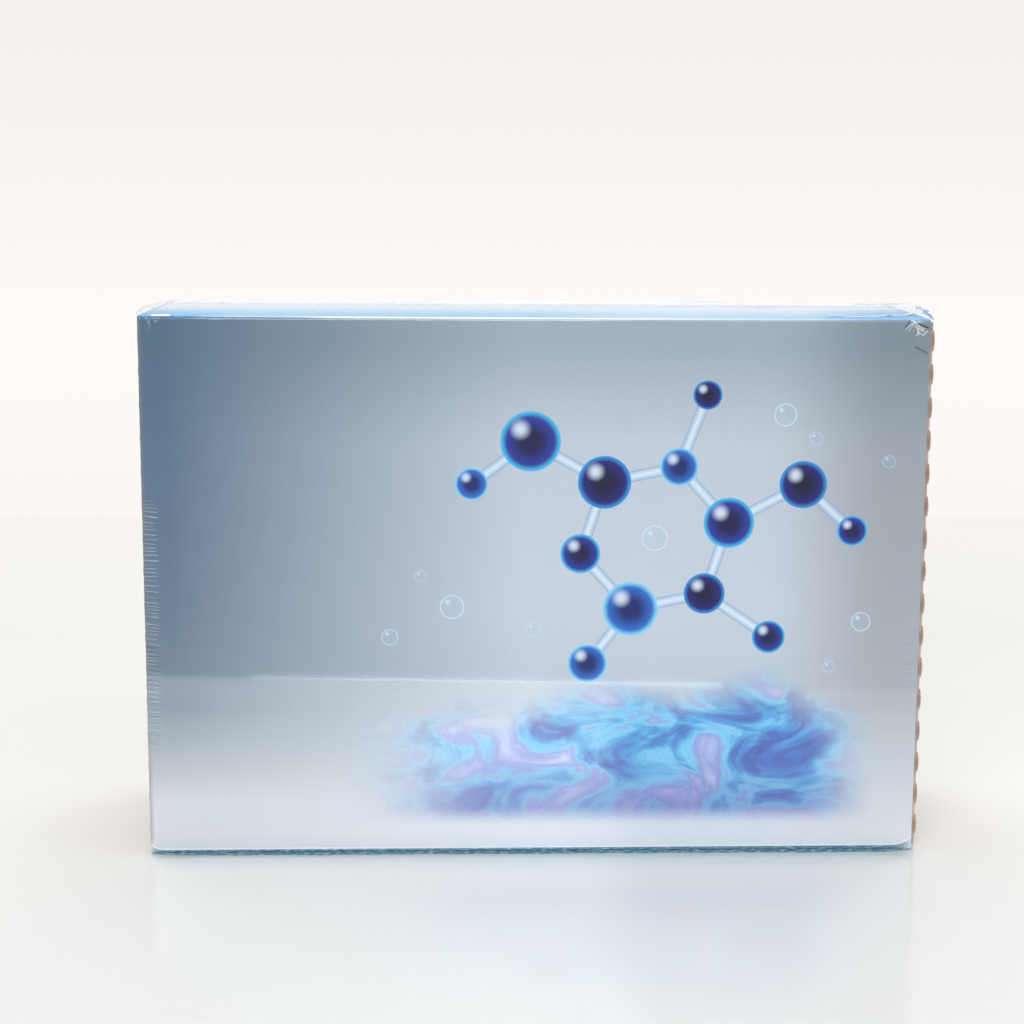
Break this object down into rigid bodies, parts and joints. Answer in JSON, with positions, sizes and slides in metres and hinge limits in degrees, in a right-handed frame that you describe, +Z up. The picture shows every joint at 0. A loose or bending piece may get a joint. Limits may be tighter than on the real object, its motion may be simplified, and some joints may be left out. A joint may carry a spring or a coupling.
{
  "type": "chemistry set case",
  "caption": "Standing printed slip sleeve in clear film, open at both ends, round a corrugated sliding drawer that holds bottles, tubes, flask and other chemistry ware on a die-cut deck.",
  "frame": {"origin": "middle of the base, on the surface the case stands on", "axes": "+X along the drawer's travel, to the right as seen from the printed front; +Y to the back, away from the printed front; +Z up"},
  "size_m": [0.202, 0.0602, 0.1407],
  "materials": {
    "printed_board": "gloss offset print on coated paperboard",
    "clear_film": "clear shrink film, glossy",
    "kraft_board": "plain brown micro-corrugated kraft board",
    "white_board": "white-lined corrugated board",
    "booklet_paper": "matte white paper",
    "bottle_plastic": "white blow-moulded polyethylene",
    "cap_blue": "moulded polypropylene",
    "cap_red": "moulded polypropylene",
    "cap_yellow": "moulded polypropylene",
    "liner_foam": "white polyethylene foam",
    "clear_plastic": "clear moulded polystyrene",
    "natural_plastic": "natural translucent polyethylene",
    "lab_glass": "clear blown borosilicate glass",
    "rod_glass": "clear glass rod, fire-polished ends",
    "stopper_rubber": "moulded red-brown rubber"
  },
  "bodies": {
    "sleeve": {"printed_sleeve": "printed_board", "shrink_film": "clear_film"},
    "drawer": {"kraft_tray": "kraft_board", "insert_deck": "white_board", "instruction_booklet": "booklet_paper", "reagent_bottle_1": "bottle_plastic", "reagent_bottle_2": "bottle_plastic", "reagent_bottle_3": "bottle_plastic", "reagent_bottle_4": "bottle_plastic", "reagent_bottle_5": "bottle_plastic", "reagent_bottle_6": "bottle_plastic", "measuring_cup": "clear_plastic", "funnel": "natural_plastic", "test_tube_1": "lab_glass", "test_tube_2": "lab_glass", "conical_flask": "lab_glass", "transfer_pipette": "natural_plastic", "stirring_rod": "rod_glass"},
    "liner_1": {"cap_liner_1": "liner_foam"},
    "cap_1": {"bottle_cap_1": "cap_blue"},
    "liner_2": {"cap_liner_2": "liner_foam"},
    "cap_2": {"bottle_cap_2": "cap_red"},
    "liner_3": {"cap_liner_3": "liner_foam"},
    "cap_3": {"bottle_cap_3": "cap_yellow"},
    "liner_4": {"cap_liner_4": "liner_foam"},
    "cap_4": {"bottle_cap_4": "cap_yellow"},
    "liner_5": {"cap_liner_5": "liner_foam"},
    "cap_5": {"bottle_cap_5": "cap_blue"},
    "liner_6": {"cap_liner_6": "liner_foam"},
    "cap_6": {"bottle_cap_6": "cap_red"},
    "tube_stopper_1": {"tube_stopper_1": "stopper_rubber"},
    "tube_stopper_2": {"tube_stopper_2": "stopper_rubber"},
    "flask_stopper": {"flask_stopper": "stopper_rubber"}
  },
  "joints": [
    {"name": "drawer_slide", "type": "slide", "parent": "sleeve", "child": "drawer", "axis": [1, 0, 0], "range_m": [-0.205, 0.205]},
    {"name": "liner_1_lift", "type": "slide", "parent": "drawer", "child": "liner_1", "axis": [0, -1, 0], "range_m": [0, 0.0038]},
    {"name": "cap_1_turn", "type": "hinge", "parent": "liner_1", "child": "cap_1", "pos_m": [-0.0754, -0.0182, 0.11725], "axis": [0, -1, 0], "range_deg": [0, 450]},
    {"name": "liner_2_lift", "type": "slide", "parent": "drawer", "child": "liner_2", "axis": [0, -1, 0], "range_m": [0, 0.0038]},
    {"name": "cap_2_turn", "type": "hinge", "parent": "liner_2", "child": "cap_2", "pos_m": [-0.04639, -0.0182, 0.11725], "axis": [0, -1, 0], "range_deg": [0, 450]},
    {"name": "liner_3_lift", "type": "slide", "parent": "drawer", "child": "liner_3", "axis": [0, -1, 0], "range_m": [0, 0.0038]},
    {"name": "cap_3_turn", "type": "hinge", "parent": "liner_3", "child": "cap_3", "pos_m": [-0.0174, -0.0182, 0.11725], "axis": [0, -1, 0], "range_deg": [0, 450]},
    {"name": "liner_4_lift", "type": "slide", "parent": "drawer", "child": "liner_4", "axis": [0, -1, 0], "range_m": [0, 0.0038]},
    {"name": "cap_4_turn", "type": "hinge", "parent": "liner_4", "child": "cap_4", "pos_m": [-0.0754, -0.0182, 0.08825], "axis": [0, -1, 0], "range_deg": [0, 450]},
    {"name": "liner_5_lift", "type": "slide", "parent": "drawer", "child": "liner_5", "axis": [0, -1, 0], "range_m": [0, 0.0038]},
    {"name": "cap_5_turn", "type": "hinge", "parent": "liner_5", "child": "cap_5", "pos_m": [-0.04639, -0.0182, 0.08825], "axis": [0, -1, 0], "range_deg": [0, 450]},
    {"name": "liner_6_lift", "type": "slide", "parent": "drawer", "child": "liner_6", "axis": [0, -1, 0], "range_m": [0, 0.0038]},
    {"name": "cap_6_turn", "type": "hinge", "parent": "liner_6", "child": "cap_6", "pos_m": [-0.0174, -0.0182, 0.08825], "axis": [0, -1, 0], "range_deg": [0, 450]},
    {"name": "tube_stopper_1_pull", "type": "slide", "parent": "drawer", "child": "tube_stopper_1", "axis": [1, 0, 0], "range_m": [0, 0.014]},
    {"name": "tube_stopper_2_pull", "type": "slide", "parent": "drawer", "child": "tube_stopper_2", "axis": [1, 0, 0], "range_m": [0, 0.014]},
    {"name": "flask_stopper_pull", "type": "slide", "parent": "drawer", "child": "flask_stopper", "axis": [0, 0, 1], "range_m": [0, 0.014]}
  ],
  "couplings": [
    {"joint": "liner_1_lift", "follows": "cap_1_turn", "m_per_rad": 0.00047746},
    {"joint": "liner_2_lift", "follows": "cap_2_turn", "m_per_rad": 0.00047746},
    {"joint": "liner_3_lift", "follows": "cap_3_turn", "m_per_rad": 0.00047746},
    {"joint": "liner_4_lift", "follows": "cap_4_turn", "m_per_rad": 0.00047746},
    {"joint": "liner_5_lift", "follows": "cap_5_turn", "m_per_rad": 0.00047746},
    {"joint": "liner_6_lift", "follows": "cap_6_turn", "m_per_rad": 0.00047746}
  ]
}
